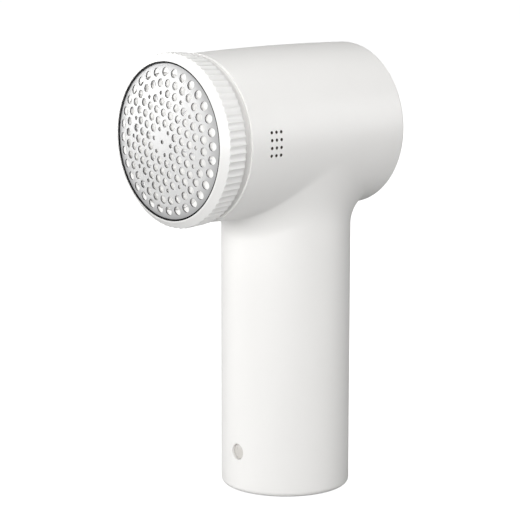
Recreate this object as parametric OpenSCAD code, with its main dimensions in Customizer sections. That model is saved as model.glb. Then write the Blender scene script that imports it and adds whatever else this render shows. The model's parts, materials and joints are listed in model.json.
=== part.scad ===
// Cordless fabric shaver: an upright round handle carries a short horizontal
// barrel. A domed, perforated foil closes the barrel's front and a ribbed ring
// screws it on. Behind the foil a motor spins a six-blade cutter, and the lint
// passes round the motor into a bin that pulls out of the barrel's back.
//
// Frame: +Z up, the barrel's axis along Y with the foil facing -Y, the handle's
// axis on Z, and the origin at the centre of the foot pad's underside.

/* [Handle] */
// Outer diameter of the handle
handle_d = 42; // [41.6:0.2:42.4]
// Thickness of the handle's wall
wall = 2; // [1.8:0.1:2.1]
// Radius of the rounded edge at the handle's foot
foot_edge = 1.7; // [1:0.1:1.8]
// How far the rubber pad stands below the handle
pad_proud = 0.3; // [0.2:0.1:0.5]

/* [Barrel] */
// Height of the barrel's axis above the ground
barrel_z = 117.6; // [117:0.2:119]
// Outer diameter of the barrel at its middle
barrel_d = 54; // [53.8:0.2:55]
// How much smaller the radius is at the barrel's two ends
crown = 0.6; // [0:0.1:0.8]
// Distance from the handle's axis to the barrel's front lip
barrel_front = 38; // [37.8:0.1:38.2]
// Distance from the handle's axis to the barrel's back face
barrel_rear = 27.7; // [27.5:0.1:28.5]
// Radius of the edge around the back face
rear_edge = 1.2; // [0.6:0.1:1.5]

/* [Locking ring] */
// Largest diameter of the ring, at its front edge
ring_d = 54.7; // [54.5:0.1:56]
// Number of grip ribs around the ring
rib_count = 72; // [48:1:80]
// Depth of the grooves between the ribs
groove_depth = 0.35; // [0.2:0.05:0.5]
// Width of the grooves between the ribs
groove_w = 0.7; // [0.5:0.1:1]

/* [Foil] */
// Diameter of the foil
foil_d = 48.2; // [48:0.1:48.3]
// How far the foil's middle stands ahead of its rim
dome_rise = 2.4; // [2:0.1:2.8]
// Thickness of the foil
foil_t = 0.4; // [0.3:0.1:0.5]
// Pitch of the holes in the middle field
hole_pitch = 3.45; // [3.4:0.05:3.5]
// Direction of the rows in the middle field, in degrees
hole_turn = 47; // [0:1:59]
// Diameter of the holes in the middle field
hole_d = 2.5; // [2:0.1:2.7]
// Diameter of the small pilot holes
pilot_d = 1.3; // [0.8:0.1:1.6]

/* [Cutter] */
// Number of blades
blade_count = 6; // [3:1:6]
// Thickness of a blade
blade_t = 0.5; // [0.4:0.1:0.6]
// Gap between the blades' edges and the foil
blade_gap = 0.3; // [0.25:0.05:0.35]

/* [Vents] */
// Diameter of one vent hole
vent_d = 1; // [0.6:0.1:1.2]
// Spacing of the vent columns along the barrel
vent_pitch = 1.89; // [1.6:0.01:2]
// Angle between the vent rows around the barrel
vent_step = 5.2; // [4:0.1:5.6]

/* [Controls] */
// Height of the power button above the ground
button_z = 84; // [83:1:85]
// Diameter of the power button
button_d = 12; // [11:0.5:12]
// Height of the charge light above the ground
light_z = 13.7; // [13:0.1:14]
// Diameter of the charge light's lens
light_d = 5.1; // [4.6:0.1:5.4]

/* [Hidden] */
fine = 96;
smooth = 48;
dome_fn = 360;

// Handle
handle_r = handle_d / 2;
bore_r = handle_r - wall;
foot_z = pad_proud;

// Barrel shell, and the neck that the head screws onto
barrel_r = barrel_d / 2;
barrel_bore_r = 24.7;
duct_stop_y = -36;
neck_r = 24.9;
neck_bore_r = 23.4;
neck_front_y = -45.5;
collar_y = -40.4;
collar_r = 25.7;
fillet_r = 7;
vent_y = -28;

// Head: ring, foil and frame
ring_back_y = -40.6;
ring_edge_y = -47.3;
rim_y = -49.5;
ring_bore_r = 25.3;
foil_r = foil_d / 2;
foil_inset = 0.3;
foil_skirt = 1.7;
ring_lip_r = foil_r + 0.45;
dome_r = (foil_r * foil_r + dome_rise * dome_rise) / (2 * dome_rise);
foil_rim_y = rim_y + foil_inset;
dome_y = foil_rim_y - dome_rise + dome_r;
frame_bore_r = 22.35;
foil_seat_gap = 0.05;
lip_bore_r = 21.35;
lip_t = 0.5;
flange_r = 25;
flange_front_y = foil_rim_y + foil_skirt;
flange_back_y = flange_front_y + 1.1;

// Foil hole rings outside the middle field
outer_ring = [21.6, 32, 1.6, 2.8]; // radius, count, first angle, hole diameter
inner_ring = [18.2, 32, 7.2, 2.6];
field_rings = 4;
corner_hole_r = 15.04;
corner_hole_angle = 23.4;
pilot_near_r = 4.1;
pilot_far_r = 15.1;
pilot_far_angle = 11.2;

// Cutter disc, blades and drive hub
carrier_r = 22;
carrier_top_r = 21;
carrier_step = 0.45;
carrier_back_y = -46.2;
carrier_drop = 0.4;
blade_root = 1;
blade_offset = 1.5;
blade_rake = 8;
blade_in = 6.5;
blade_out = 21;
socket_front_y = -49;
hub_front_y = -48.2;
hub_flange_y = -42.3;
hub_hex_r = 3.4;
hex_clearance = 0.1;
spring_guide_r = 6.4;
spring_guide_y = -43.2;

// Motor
motor_front_y = -39;
can_r = 12.2;
can_wall = 1;
can_back_y = -12;
end_cap_back_y = -10.2;
shaft_r = 1;
shaft_play = 0.04;
bush_r = 3;
end_bush_r = 2.6;
motor_screw_x = 8;
motor_screw_r = 1.25;
magnet_angle = 130;
magnet_bore_r = 8.1;
magnet_front_y = -34;
magnet_back_y = -14.5;
core_r = 7.6;
core_front_y = -33;
core_back_y = -18;
winding_r = 6.7;
winding_bore_r = 2.9;
commutator_r = 2.5;
commutator_front_y = -16;
commutator_back_y = -12.6;

// Lint duct, the sleeve that also holds the motor
duct_r = 24.6;
duct_bore_r = 23.4;
duct_back_y = 23.5;
motor_tube_r = 14;
motor_tube_bore_r = 12.4;
motor_tube_front_y = -41;
motor_tube_back_y = -2;
screw_head_y = motor_tube_front_y - 1.3;
screw_tip_y = motor_front_y + 2;
wire_hole_y = -5;
wire_hole_r = 1.9;
window_front_y = -31.5;
window_back_y = -24.5;
window_half_h = 5;

// Lint bin
bin_r = 23.1;
bin_wall = 1.2;
bin_mouth_y = 0.5;
bin_floor_y = 21.2;
cover_plate_y = 26.2;
cover_r = 24.35;
pocket_r = 16;
grip_half_w = 3;
seal_y = 24.9;
seal_r = 0.7;

// Handle contents
cell_y = -5.5;
cell_r = 9.2;
cell_bottom_z = 22;
cell_top_z = 87;
tab_t = 0.3;
holder_r = 10.6;
holder_bore_r = 9.4;
holder_floor = 1.6;
board_y = 10.4;
board_t = 1.6;
board_back_y = board_y + board_t;
board_w = 26;
board_bottom_z = 9;
board_top_z = 89;
post_x = 10.9;
post_z = [28, 77];
post_r = 0.9;

// Foot: cap, pad and screw bosses
boss_x = 14;
boss_y = -2;
boss_r = 2.8;
boss_h = 10;
boss_web_x = 16.5;
foot_screw_r = 1;
screw_head_r = 2.2;
screw_head_z = 1.5;
cap_top_z = 3.6;
pad_r = 17.2;
pad_t = 1.4;

// Charging socket and its slot in the handle's back
socket_z = 16.3;
slot_x = 3.1;
slot_r = 1.85;

// Power button and switch
button_face_y = 21.7;
button_back_y = 16.2;
button_clearance = 0.25;
plunger_r = 1.7;

// A solid turned about the barrel's axis from [radius, y] points
module turned(points) {
    translate([0, 0, barrel_z])
        rotate([-90, 0, 0])
            rotate_extrude($fn = fine)
                polygon(points);
}

// Puts its children on the barrel's axis, their own Z along +Y
module on_axis(y = 0) {
    translate([0, y, barrel_z])
        rotate([-90, 0, 0])
            children();
}

// A round bar on the barrel's axis
module bar_y(r, y0, y1, sides = fine) {
    on_axis(y0) cylinder(r = r, h = y1 - y0, $fn = sides);
}

// A round tube on the barrel's axis
module tube_y(r_out, r_in, y0, y1) {
    difference() {
        bar_y(r_out, y0, y1);
        bar_y(r_in, y0 - 1, y1 + 1);
    }
}

// A ball whose surface runs parallel to the foil, a given depth under its outside
module dome(depth) {
    translate([0, dome_y, barrel_z]) sphere(r = dome_r - depth, $fn = dome_fn);
}

// Puts children at an angle around the barrel's axis, measured from +X towards +Z
module around(angle) {
    on_axis() rotate([0, 0, -angle]) children();
}

// A horizontal round bar along Y anywhere
module peg_y(x, z, r, y0, y1) {
    translate([x, y0, z]) rotate([-90, 0, 0]) cylinder(r = r, h = y1 - y0, $fn = smooth);
}

// An upright round bar anywhere
module peg_z(x, y, r, z0, z1) {
    translate([x, y, z0]) cylinder(r = r, h = z1 - z0, $fn = smooth);
}

// A box between two corners
module block(low, high) {
    translate(low) cube(high - low);
}

// The barrel's radius at a place along it: widest halfway between its ends
function barrel_at(y) =
    let (half = (barrel_front + barrel_rear) / 2, u = (y + barrel_front - half) / half)
    barrel_r - crown * u * u;

module barrel_solid() {
    arc_steps = 6;
    crown_steps = 10;
    crown_end = barrel_rear - rear_edge;
    turned(concat(
        [
            [0, neck_front_y],
            [neck_r, neck_front_y],
            [neck_r, collar_y],
            [collar_r, collar_y],
            [collar_r, -barrel_front],
            [barrel_at(-barrel_front) - 0.15, -barrel_front]
        ],
        [
            for (i = [0:crown_steps])
            let (y = -barrel_front + 0.2 + (crown_end + barrel_front - 0.2) * i / crown_steps)
            [barrel_at(y), y]
        ],
        [
            for (i = [1:arc_steps])
            let (a = 90 * i / arc_steps)
            [barrel_at(crown_end) - rear_edge * (1 - cos(a)), crown_end + rear_edge * sin(a)]
        ],
        [[0, barrel_rear]]
    ));
}

module handle_solid() {
    arc_steps = 6;
    rotate_extrude($fn = fine)
        polygon(concat(
            [[0, foot_z]],
            [
                for (i = [0:arc_steps])
                let (a = 90 * i / arc_steps)
                [handle_r - foot_edge * (1 - sin(a)), foot_z + foot_edge * (1 - cos(a))]
            ],
            [[handle_r, barrel_z - 8], [0, barrel_z - 8]]
        ));
}

// The widening of the handle where it runs into the barrel's underside, built as
// steps that each lie within reach of both the barrel and the handle
module fillet_solid() {
    for (a = [20:15:65])
        intersection() {
            bar_y(barrel_r + fillet_r * (1 - cos(a)), -30, 30);
            cylinder(r = handle_r + fillet_r * (1 - sin(a)), h = barrel_z - 8, $fn = fine);
        }
}

module vent_holes() {
    for (row = [0:3], column = [0:2])
        translate([0, vent_y + (column - 1) * vent_pitch, 0])
            around((1.5 - row) * vent_step)
                rotate([0, 90, 0])
                    cylinder(d = vent_d, h = 30, $fn = smooth);
}

module body_shell() {
    color("white")
        difference() {
            union() {
                difference() {
                    union() {
                        barrel_solid();
                        handle_solid();
                        fillet_solid();
                    }
                    bar_y(barrel_bore_r, duct_stop_y, barrel_rear + 1);
                    bar_y(neck_bore_r, neck_front_y - 1, barrel_rear);
                    translate([0, 0, -1]) cylinder(r = bore_r, h = barrel_z - 4, $fn = fine);
                }
                for (side = [-1, 1]) {
                    peg_z(side * boss_x, boss_y, boss_r, cap_top_z, cap_top_z + boss_h);
                    translate([side * boss_web_x, boss_y, cap_top_z + boss_h / 2])
                        cube([5.4, 2, boss_h], center = true);
                }
            }
            for (side = [-1, 1])
                peg_z(side * boss_x, boss_y, foot_screw_r, 0, cap_top_z + 7);
            vent_holes();
            peg_y(0, light_z, light_d / 2, -handle_r - 1, -10);
            peg_y(0, button_z, button_d / 2 + button_clearance, 14, handle_r + 1);
            socket_shape(slot_x + slot_r, slot_r, 16, handle_r + 1);
        }
}

module base_cap() {
    color("whitesmoke")
        difference() {
            translate([0, 0, foot_z]) cylinder(r = bore_r - 0.1, h = cap_top_z - foot_z, $fn = fine);
            translate([0, 0, -1]) cylinder(r = pad_r + 0.1, h = pad_t + 1, $fn = fine);
            for (side = [-1, 1]) {
                peg_z(side * boss_x, boss_y, screw_head_r + 0.2, 0, screw_head_z + 1);
                peg_z(side * boss_x, boss_y, foot_screw_r + 0.1, 0, cap_top_z + 1);
            }
        }
}

module base_pad() {
    color("lightgray") cylinder(r = pad_r, h = pad_t, $fn = fine);
}

module base_screws() {
    color("silver")
        for (side = [-1, 1])
            translate([side * boss_x, boss_y, 0])
                difference() {
                    union() {
                        peg_z(0, 0, screw_head_r, screw_head_z, screw_head_z + 1);
                        peg_z(0, 0, foot_screw_r, screw_head_z + 1, screw_head_z + 8);
                    }
                    block([-1.4, -0.25, 1], [1.4, 0.25, screw_head_z + 0.4]);
                    block([-0.25, -1.4, 1], [0.25, 1.4, screw_head_z + 0.4]);
                }
}

// Cradle for the cell, with posts for the board and feet on the base cap
module battery_holder() {
    floor_z = cell_bottom_z - tab_t;
    roof_z = cell_top_z + tab_t;
    color("gainsboro")
        difference() {
            union() {
                difference() {
                    translate([0, cell_y, floor_z - holder_floor])
                        cylinder(r = holder_r, h = roof_z - floor_z + 2 * holder_floor, $fn = fine);
                    translate([0, cell_y, floor_z])
                        cylinder(r = holder_bore_r, h = roof_z - floor_z, $fn = fine);
                    block([-20, cell_y + 4, floor_z], [20, 20, roof_z]);
                }
                for (side = [-1, 1]) {
                    for (z = post_z)
                        block(
                            [side * post_x - 1.5, cell_y + 2, z - 3],
                            [side * post_x + 1.5, board_y, z + 3]
                        );
                    block([side * 8.5 - 1.5, -10, cap_top_z], [side * 8.5 + 1.5, -4, floor_z - 1]);
                }
            }
            for (side = [-1, 1], z = post_z)
                peg_y(side * post_x, z, post_r, 5, board_y + 1);
        }
}

module battery_cell() {
    color("steelblue") {
        translate([0, cell_y, cell_bottom_z])
            cylinder(r = cell_r, h = cell_top_z - cell_bottom_z - 1, $fn = fine);
        peg_z(0, cell_y, 3, cell_top_z - 1, cell_top_z);
    }
}

module battery_tabs() {
    color("silver")
        for (z = [cell_bottom_z - tab_t, cell_top_z])
            block([-3, cell_y - 3, z], [3, board_y, z + tab_t]);
}

module main_board() {
    color("seagreen")
        difference() {
            block([-board_w / 2, board_y, board_bottom_z], [board_w / 2, board_back_y, board_top_z]);
            for (side = [-1, 1], z = post_z)
                peg_y(side * post_x, z, post_r, board_y - 1, board_back_y + 1);
        }
}

module board_screws() {
    color("silver")
        for (side = [-1, 1], z = post_z) {
            peg_y(side * post_x, z, 1.8, board_back_y, board_back_y + 1.2);
            peg_y(side * post_x, z, post_r, 6, board_back_y);
        }
}

// Charger and motor-driver packages on the board's back, with a tall capacitor
module board_chips() {
    color("dimgray") {
        block([-3, board_back_y, 36], [3, board_back_y + 1.5, 42]);
        block([-2, board_back_y, 52], [2, board_back_y + 1.4, 57]);
        block([-8, board_back_y, 48], [-5, board_back_y + 1.2, 54]);
        translate([6.5, board_back_y, 62]) rotate([-90, 0, 0]) cylinder(r = 2.5, h = 3.4, $fn = smooth);
    }
}

// Rounded slot shape of a charging socket, along +Y
module socket_shape(half_w, r, y0, y1) {
    block([-half_w + r, y0, socket_z - r], [half_w - r, y1, socket_z + r]);
    for (side = [-1, 1])
        peg_y(side * (half_w - r), socket_z, r, y0, y1);
}

module charge_socket() {
    color("silver")
        difference() {
            socket_shape(4.47, 1.58, board_back_y, 20.1);
            socket_shape(4.17, 1.28, board_back_y + 1.5, 21);
        }
}

module socket_core() {
    color("black")
        block([-3.35, board_back_y + 1.5, socket_z - 0.35], [3.35, 19.3, socket_z + 0.35]);
}

module charge_led() {
    color("honeydew")
        block([-1.2, board_y - 0.9, light_z - 0.8], [1.2, board_y, light_z + 0.8]);
}

// Clear rod from the lamp on the board to the lens in the handle's front
module light_pipe() {
    color("ivory") {
        peg_y(0, light_z, light_d / 2 - 0.05, -20.5, -18.5);
        peg_y(0, light_z, light_d / 2 + 0.9, -18.5, -17.5);
        peg_y(0, light_z, 2, -17.5, board_y - 1.1);
    }
}

module switch_body() {
    color("dimgray")
        difference() {
            block([-3, board_back_y, button_z - 3], [3, 15, button_z + 3]);
            peg_y(0, button_z, plunger_r + 0.05, 13, 16);
        }
}

module switch_plunger() {
    color("silver") peg_y(0, button_z, plunger_r, 14.4, button_back_y);
}

module power_button() {
    dish_r = 40;
    dish_depth = 0.35;
    color("white")
        difference() {
            union() {
                peg_y(0, button_z, button_d / 2 + 1.2, button_back_y, button_back_y + 1);
                peg_y(0, button_z, button_d / 2, button_back_y + 1, button_face_y);
            }
            translate([0, button_face_y + dish_r - dish_depth, button_z])
                sphere(r = dish_r, $fn = dome_fn);
        }
}

// Sleeve that lines the barrel and carries the motor on three spokes
module lint_duct() {
    spoke_t = 3;
    color("whitesmoke")
        difference() {
            union() {
                tube_y(duct_r, duct_bore_r, duct_stop_y, duct_back_y);
                difference() {
                    union() {
                        bar_y(motor_tube_r, motor_tube_front_y, motor_tube_back_y);
                        for (angle = [30, 150])
                            around(angle)
                                translate([motor_tube_r - 1, -spoke_t / 2, -33])
                                    cube([duct_bore_r - motor_tube_r + 1.5, spoke_t, 18]);
                        around(270)
                            translate([motor_tube_r - 1, -spoke_t, wire_hole_y - 3])
                                cube([duct_bore_r - motor_tube_r + 1.5, 2 * spoke_t, 6]);
                    }
                    bar_y(motor_tube_bore_r, motor_front_y, 0);
                }
            }
            bar_y(bush_r + 0.4, motor_tube_front_y - 1, motor_front_y + 1);
            motor_screw_holes(motor_screw_r + 0.05, motor_tube_front_y - 1);
            peg_z(0, wire_hole_y, wire_hole_r, barrel_z - 26, barrel_z - 10);
            screen_window();
        }
}

// Holes for the two screws that hold the motor
module motor_screw_holes(r, y0) {
    for (side = [-1, 1])
        peg_y(side * motor_screw_x, barrel_z, r, y0, screw_tip_y);
}

// Space behind the vent holes, in the duct's wall
module screen_window() {
    block(
        [duct_bore_r - 4, window_front_y, barrel_z - window_half_h],
        [duct_r + 1, window_back_y, barrel_z + window_half_h]
    );
}

module vent_screen() {
    color("gray")
        intersection() {
            tube_y(duct_r - 0.1, duct_bore_r + 0.1, window_front_y + 0.1, window_back_y - 0.1);
            screen_window();
        }
}

module motor_can() {
    color("silver")
        difference() {
            bar_y(can_r, motor_front_y, can_back_y);
            bar_y(can_r - can_wall, motor_front_y + can_wall, can_back_y + 1);
            bar_y(bush_r, motor_front_y - 1, motor_front_y + 2);
            motor_screw_holes(motor_screw_r, motor_front_y - 1);
        }
}

module motor_end_cap() {
    color("dimgray")
        difference() {
            union() {
                bar_y(can_r, can_back_y, end_cap_back_y);
                bar_y(4.4, end_cap_back_y, end_cap_back_y + 3);
            }
            bar_y(end_bush_r, can_back_y - 1, end_cap_back_y + 4);
        }
}

module motor_bushes() {
    color("goldenrod") {
        tube_y(bush_r, shaft_r + shaft_play, motor_front_y - 1.6, motor_front_y + 2.4);
        tube_y(end_bush_r, shaft_r + shaft_play, can_back_y + 0.4, end_cap_back_y + 3);
    }
}

module motor_magnets() {
    outer_r = can_r - can_wall;
    color("dimgray")
        for (side = [0, 180])
            translate([0, 0, barrel_z])
                rotate([-90, 0, 0])
                    rotate([0, 0, side - magnet_angle / 2])
                        rotate_extrude(angle = magnet_angle, $fn = fine)
                            polygon([
                                [magnet_bore_r, magnet_front_y], [outer_r, magnet_front_y],
                                [outer_r, magnet_back_y], [magnet_bore_r, magnet_back_y]
                            ]);
}

module motor_terminals() {
    color("gold")
        for (side = [-1, 1])
            block(
                [side * motor_screw_x - 1.1, end_cap_back_y, barrel_z - 0.25],
                [side * motor_screw_x + 1.1, end_cap_back_y + 3.6, barrel_z + 0.25]
            );
}

module motor_brushes() {
    color("darkgoldenrod")
        for (side = [-1, 1]) {
            block(
                [-0.6, -14.2, barrel_z + side * 3.9 - 1.3],
                [0.6, -13.0, barrel_z + side * 3.9 + 1.3]
            );
            block(
                [-1.2, -13.0, barrel_z + side * 5.5 - 0.3],
                [1.2, can_back_y, barrel_z + side * 5.5 + 0.3]
            );
        }
}

module motor_screws() {
    color("silver")
        for (side = [-1, 1])
            difference() {
                union() {
                    peg_y(side * motor_screw_x, barrel_z, 2.1, screw_head_y, motor_tube_front_y);
                    peg_y(side * motor_screw_x, barrel_z, motor_screw_r, motor_tube_front_y, screw_tip_y);
                }
                for (tilt = [0, 90])
                    translate([side * motor_screw_x, screw_head_y, barrel_z])
                        rotate([0, tilt, 0])
                            cube([2.6, 1.2, 0.5], center = true);
            }
}

module motor_cover() {
    color("whitesmoke") {
        bar_y(motor_tube_r, motor_tube_back_y, motor_tube_back_y + 1.5);
        tube_y(motor_tube_bore_r - 0.1, 11.2, motor_tube_back_y - 1.2, motor_tube_back_y);
    }
}

// A round wire through a list of points, with a bead at each bend
module wire(points, r) {
    for (i = [0:len(points) - 2]) {
        step = points[i + 1] - points[i];
        translate(points[i])
            rotate([0, acos(step[2] / norm(step)), atan2(step[1], step[0])])
                cylinder(r = r, h = norm(step), $fn = 24);
    }
    for (i = [1:len(points) - 2])
        translate(points[i]) sphere(r = r * 1.04, $fn = 24);
}

// Two wires from the motor's terminals down the hollow spoke to the board
module motor_wires() {
    for (side = [-1, 1])
        color(side < 0 ? "black" : "firebrick")
            wire([
                [side * motor_screw_x, end_cap_back_y + 3.7, barrel_z],
                [side * motor_screw_x, wire_hole_y, barrel_z],
                [side * 0.85, wire_hole_y, barrel_z - 9],
                [side * 0.85, wire_hole_y, 91.6],
                [side * 1.6, 7.4, 91.4],
                [side * 1.6, board_y - 0.9, 89.6]
            ], 0.7);
}

module motor_shaft() {
    color("silver") bar_y(shaft_r, hub_front_y + 0.6, end_cap_back_y + 3.4, smooth);
}

// Three-pole iron core
module armature_core() {
    color("gray")
        difference() {
            tube_y(core_r, shaft_r, core_front_y, core_back_y);
            winding_slots();
        }
}

module winding_slots() {
    for (angle = [30, 150, 270])
        around(angle) {
            translate([2.8, -2, -40]) cube([4, 4, 30]);
            translate([5, -0.6, -40]) cube([4, 1.2, 30]);
        }
}

// Copper in the slots and around both ends of the core
module windings() {
    color("peru") {
        tube_y(winding_r, winding_bore_r, core_front_y - 2, core_front_y);
        tube_y(winding_r, winding_bore_r, core_back_y, core_back_y + 1.8);
        intersection() {
            winding_slots();
            bar_y(winding_r, core_front_y, core_back_y);
        }
    }
}

module commutator() {
    color("peru") tube_y(commutator_r, shaft_r, commutator_front_y, commutator_back_y);
}

// Hexagonal driver pressed on the shaft, with a seat for the spring
module drive_hub() {
    color("dimgray")
        difference() {
            union() {
                bar_y(hub_hex_r, hub_front_y, hub_flange_y, 6);
                bar_y(5.2, hub_flange_y, hub_flange_y + 1);
            }
            bar_y(shaft_r, hub_front_y + 0.6, hub_flange_y + 2, smooth);
        }
}

// White disc that carries the blades, domed like the foil in front
module blade_carrier() {
    color("white")
        difference() {
            union() {
                intersection() {
                    bar_y(carrier_top_r, -52, carrier_back_y);
                    dome(foil_t + blade_gap + carrier_drop);
                }
                intersection() {
                    bar_y(carrier_r, -52, carrier_back_y);
                    dome(foil_t + blade_gap + carrier_drop + carrier_step);
                }
                bar_y(spring_guide_r, carrier_back_y, spring_guide_y);
            }
            bar_y(hub_hex_r + hex_clearance, socket_front_y, spring_guide_y + 1, 6);
            bar_y(5, carrier_back_y, spring_guide_y + 1);
            blades();
        }
}

// Curved strips that stand out of the disc and follow the inside of the foil
module blades() {
    for (i = [0:blade_count - 1])
        difference() {
            intersection() {
                around(360 / blade_count * i)
                    translate([blade_in, blade_offset, -53])
                        rotate([0, 0, blade_rake])
                            cube([blade_out - blade_in, blade_t, 7]);
                dome(foil_t + blade_gap);
            }
            dome(foil_t + blade_gap + carrier_drop + blade_root);
        }
}

module cutter_blades() {
    color("silver") blades();
}

// Closed tube swept along a coil about the barrel's axis
module coil(r, wire_r, y0, y1, turns) {
    sides = 8;
    per_turn = 20;
    rings = turns * per_turn;
    points = [
        for (i = [0:rings])
        let (a = 360 * i / per_turn, y = y0 + (y1 - y0) * i / rings)
        for (k = [0:sides - 1])
        let (b = 360 * k / sides, q = r + wire_r * cos(b))
        [q * cos(a), y + wire_r * sin(b), barrel_z + q * sin(a)]
    ];
    faces = concat(
        [[for (k = [0:sides - 1]) k]],
        [
            for (i = [0:rings - 1], k = [0:sides - 1])
            let (n = (k + 1) % sides, a = i * sides, b = a + sides)
            [a + k, b + k, b + n, a + n]
        ],
        [[for (k = [sides - 1:-1:0]) rings * sides + k]]
    );
    polyhedron(points = points, faces = faces, convexity = 6);
}

module blade_spring() {
    wire_r = 0.35;
    color("silver")
        coil(4.3, wire_r, carrier_back_y + wire_r + 0.05, hub_flange_y - wire_r - 0.05, 4);
}

// Centre of the foil hole at column i and row j of the middle field
function field_hole(i, j) = hole_pitch * [i + j / 2, j * sqrt(3) / 2];
function field_ring(i, j) = max(abs(i), abs(j), abs(i + j));

// One hole through the foil, at a radius and angle seen from the front
module foil_hole(r, angle, d) {
    around(angle) translate([r, 0, -60]) cylinder(d = d, h = 20, $fn = 32);
}

module foil_holes() {
    for (i = [-field_rings:field_rings], j = [-field_rings:field_rings])
        if (field_ring(i, j) >= 2 && field_ring(i, j) <= field_rings) {
            at = field_hole(i, j);
            foil_hole(norm(at), hole_turn + atan2(at[1], at[0]), hole_d);
        }
    for (k = [0:5]) {
        for (side = [-1, 1]) {
            foil_hole(corner_hole_r, hole_turn + 60 * k + side * corner_hole_angle, hole_d);
            foil_hole(pilot_far_r, hole_turn + 60 * k + side * pilot_far_angle, pilot_d);
        }
        foil_hole(pilot_near_r, hole_turn + 60 * k, pilot_d);
    }
    foil_hole(0, 0, pilot_d);
    for (ring = [outer_ring, inner_ring], k = [0:ring[1] - 1])
        foil_hole(ring[0], ring[2] + 360 / ring[1] * k, ring[3]);
}

// Thin domed steel screen with a skirt folded back around its rim
module foil() {
    color("lightgray")
        difference() {
            union() {
                difference() {
                    intersection() {
                        bar_y(foil_r, -60, flange_front_y);
                        dome(0);
                    }
                    bar_y(foil_r - foil_t, -60, flange_front_y + 1);
                }
                difference() {
                    intersection() {
                        bar_y(foil_r - foil_t / 2, -60, flange_front_y);
                        dome(0);
                    }
                    dome(foil_t);
                }
            }
            foil_holes();
        }
}

// Where the inside of the foil lies along the barrel's axis, at a radius
function under_foil(r) = dome_y - sqrt(pow(dome_r - foil_t, 2) - r * r);

// White ring that backs the foil's rim and clamps between the lock ring and the neck
module foil_frame() {
    seat_r = foil_r - foil_t;
    color("white")
        turned([
            [frame_bore_r, under_foil(frame_bore_r) + foil_seat_gap + lip_t],
            [lip_bore_r, under_foil(lip_bore_r) + foil_seat_gap + lip_t],
            [lip_bore_r, under_foil(lip_bore_r) + foil_seat_gap],
            [frame_bore_r, under_foil(frame_bore_r) + foil_seat_gap],
            [seat_r - 0.3, under_foil(seat_r - 0.3) + foil_seat_gap],
            [seat_r, under_foil(seat_r) + 0.3], [seat_r, flange_front_y],
            [flange_r, flange_front_y], [flange_r, flange_back_y], [frame_bore_r, flange_back_y]
        ]);
}

module head_seal() {
    section_r = 0.4;
    middle_r = (neck_r + neck_bore_r) / 2;
    color("gray")
        on_axis(flange_back_y + section_r + 0.02)
            rotate_extrude($fn = fine)
                translate([middle_r, 0]) circle(r = section_r, $fn = 24);
}

// Grip ring: ribs all round, a rounded nose, and a lip that holds the foil
module locking_ring() {
    edge_r = ring_d / 2;
    color("white")
        difference() {
            turned([
                [ring_bore_r, ring_back_y], [edge_r - 0.5, ring_back_y], [edge_r, ring_edge_y],
                [edge_r - 0.25, ring_edge_y - 0.6], [edge_r - 1.1, ring_edge_y - 1.5],
                [edge_r - 2.2, ring_edge_y - 2.05], [ring_lip_r, rim_y],
                [ring_lip_r, flange_front_y - 0.3], [ring_bore_r, flange_front_y - 0.3]
            ]);
            for (i = [0:rib_count - 1])
                around(360 / rib_count * i)
                    translate([edge_r - groove_depth - 0.25, -groove_w / 2, ring_edge_y - 1])
                        rotate([0, -4, 0])
                            cube([2, groove_w, 9]);
        }
}

module lint_bin() {
    color("gainsboro")
        difference() {
            bar_y(bin_r, bin_mouth_y, cover_plate_y);
            bar_y(bin_r - bin_wall, bin_mouth_y - 1, bin_floor_y - 1.5);
            bar_y(bin_r - bin_wall, bin_floor_y, cover_plate_y + 1);
        }
}

// Back cover of the bin, with a pocket either side of a bar to grip
module bin_cover() {
    pan_wall = 1.5;
    color("white")
        difference() {
            union() {
                bar_y(cover_r, cover_plate_y, barrel_rear);
                bar_y(pocket_r + pan_wall, bin_floor_y, barrel_rear);
            }
            difference() {
                bar_y(pocket_r, bin_floor_y + pan_wall, barrel_rear + 1);
                block([-grip_half_w, 0, barrel_z - 20], [grip_half_w, barrel_rear + 2, barrel_z + 20]);
            }
        }
}

module bin_seal() {
    color("gray")
        on_axis(seal_y)
            rotate_extrude($fn = fine)
                translate([bin_r + seal_r + 0.03, 0]) circle(r = seal_r, $fn = 24);
}

body_shell();
base_cap();
base_pad();
base_screws();
battery_holder();
battery_cell();
battery_tabs();
main_board();
board_screws();
board_chips();
charge_socket();
socket_core();
charge_led();
light_pipe();
switch_body();
switch_plunger();
power_button();
lint_duct();
vent_screen();
motor_can();
motor_end_cap();
motor_bushes();
motor_magnets();
motor_terminals();
motor_brushes();
motor_screws();
motor_cover();
motor_wires();
motor_shaft();
armature_core();
windings();
commutator();
drive_hub();
blade_carrier();
cutter_blades();
blade_spring();
foil();
foil_frame();
head_seal();
locking_ring();
lint_bin();
bin_cover();
bin_seal();
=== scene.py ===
"""Looks of the cordless fabric shaver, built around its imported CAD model.

The outside pieces are rebuilt as fine meshes: the one-piece body with its blend between handle and
barrel, the ribbed ring, the perforated foil, the button and the lens. Everything else keeps its CAD
mesh and gets a material. Lengths below are millimetres and are scaled to metres where an object is
made; angles with "turn" in their name are degrees.
"""
import json
import math

import bmesh
import bpy
import numpy as np
from mathutils import Matrix, Vector, geometry


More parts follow.
